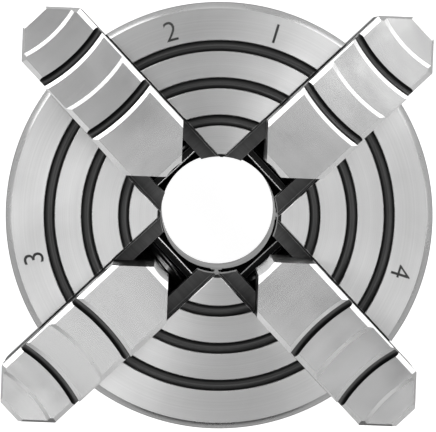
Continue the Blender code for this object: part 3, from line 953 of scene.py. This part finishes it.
# Small softboxes near the camera, mirrored in the jaws' tops: azimuth, height and brightness
OVERHEAD_SOFTBOXES = ((250, 76, 2.2), (270, 82, 1.2), (207, 84, 1.5), (27, 84, 1.5))

# The view's own right and up, level with the chuck's face, and the middle of that face
view_right = Vector((math.cos(VIEW_TURN), math.sin(VIEW_TURN), 0))
view_up = Vector((-math.sin(VIEW_TURN), math.cos(VIEW_TURN), 0))
face_middle = Vector((0, 0, FACE))


def toward(azimuth, height=0):
    """A direction by its angles in degrees: round from the view's right, and up."""
    around, rise = math.radians(azimuth), math.radians(height)
    level = view_right * math.cos(around) + view_up * math.sin(around)
    return level * math.cos(rise) + Vector((0, 0, math.sin(rise)))


def add_camera():
    """A camera high above the face, a little up and left of its middle."""
    only(None)
    place = face_middle + Vector((0, 0, CAMERA_DISTANCE))
    place += view_up * CAMERA_UP - view_right * CAMERA_LEFT
    bpy.ops.object.camera_add(location=place)
    camera = bpy.context.object
    away = (place - face_middle + view_right * AIM_LEFT).normalized()
    side = view_up.cross(away).normalized()
    facing = Matrix((side, away.cross(side), away)).transposed()
    camera.matrix_world = Matrix.Translation(place) @ facing.to_4x4()
    camera.data.sensor_width = SENSOR
    camera.data.lens = SENSOR * (place - face_middle).length / VIEW_WIDTH
    camera.data.clip_start = 10 * MM
    bpy.context.scene.camera = camera


def add_floor():
    """White paper that glows for the camera alone, so the background stays pale."""
    only(None)
    bpy.ops.mesh.primitive_plane_add(size=FLOOR_SIZE)
    floor = bpy.context.object
    floor.name = "floor"
    material = bpy.data.materials.new("floor_paper")
    material.use_nodes = True
    shader = material.node_tree.nodes["Principled BSDF"]
    shader.inputs["Base Color"].default_value = grey(PAPER_TONE)
    shader.inputs["Roughness"].default_value = PAPER_ROUGHNESS
    shader.inputs["Emission Color"].default_value = grey(1.0)
    seen = node(material.node_tree, "LightPath").outputs["Is Camera Ray"]
    wire(material.node_tree, sums(material.node_tree, "MULTIPLY", seen, PAPER_GLOW),
         shader.inputs["Emission Strength"])
    floor.data.materials.append(material)


def add_softbox(name, azimuth, height, side, brightness):
    """A square soft light aimed at the chuck. Its power is pi times its brightness and area."""
    only(None)
    away = toward(azimuth, height)
    bpy.ops.object.light_add(type="AREA", location=face_middle + away * LIGHT_DISTANCE)
    light = bpy.context.object
    light.name = name
    light.rotation_euler = away.to_track_quat("Z", "Y").to_euler()
    light.visible_camera = False
    light.data.shape = "SQUARE"
    light.data.size = side
    light.data.energy = brightness * math.pi * side ** 2


def add_dark_card():
    """A low black card, unseen, that gives the chuck's lower edge a dark line against the paper."""
    only(None)
    turn = math.radians(CARD_AZIMUTH) + VIEW_TURN - QUARTER
    place = face_middle + toward(CARD_AZIMUTH) * CARD_DISTANCE
    bpy.ops.mesh.primitive_plane_add(size=1, location=place, rotation=(QUARTER, 0, turn))
    card = bpy.context.object
    card.name = "dark_card"
    card.scale = (CARD_WIDTH, CARD_HEIGHT, 1)
    card.visible_camera = False
    material = bpy.data.materials.new("black_felt")
    material.use_nodes = True
    shader = material.node_tree.nodes["Principled BSDF"]
    shader.inputs["Base Color"].default_value = grey(FELT_TONE)
    shader.inputs["Roughness"].default_value = 1.0
    shader.inputs["Specular IOR Level"].default_value = 0.0
    card.data.materials.append(material)


def add_bore_lamp():
    """A round lamp under the chuck, which shines up through the bore as the pale floor would."""
    only(None)
    bpy.ops.object.light_add(type="AREA", location=(0, 0, REGISTER_DEPTH / 2),
                             rotation=(math.pi, 0, 0))
    lamp = bpy.context.object
    lamp.name = "bore_lamp"
    lamp.visible_camera = False
    lamp.data.shape = "DISK"
    lamp.data.size = 2 * BORE_RADIUS
    lamp.data.energy = BORE_LIGHT * math.pi * math.pi * BORE_RADIUS ** 2


def add_air():
    """Pale behind everything to the camera, and a weak even light from all round."""
    world = bpy.context.scene.world or bpy.data.worlds.new("air")
    bpy.context.scene.world = world
    world.use_nodes = True
    tree = world.node_tree
    background = next(part for part in tree.nodes if part.type == "BACKGROUND")
    background.inputs["Color"].default_value = grey(1.0)
    seen = node(tree, "LightPath").outputs["Is Camera Ray"]
    wire(tree, spread(tree, seen, AIR_LIGHT, PAPER_GLOW), background.inputs["Strength"])


add_camera()
add_floor()
add_air()
add_bore_lamp()
add_dark_card()
for height, row in SOFTBOX_ROWS.items():
    for azimuth, brightness in row:
        add_softbox("softbox", azimuth, height, LARGE_SOFTBOX, brightness)
for azimuth, height, brightness in OVERHEAD_SOFTBOXES:
    add_softbox("overhead_softbox", azimuth, height, SMALL_SOFTBOX, brightness)
bpy.context.scene.view_settings.view_transform = "Standard"
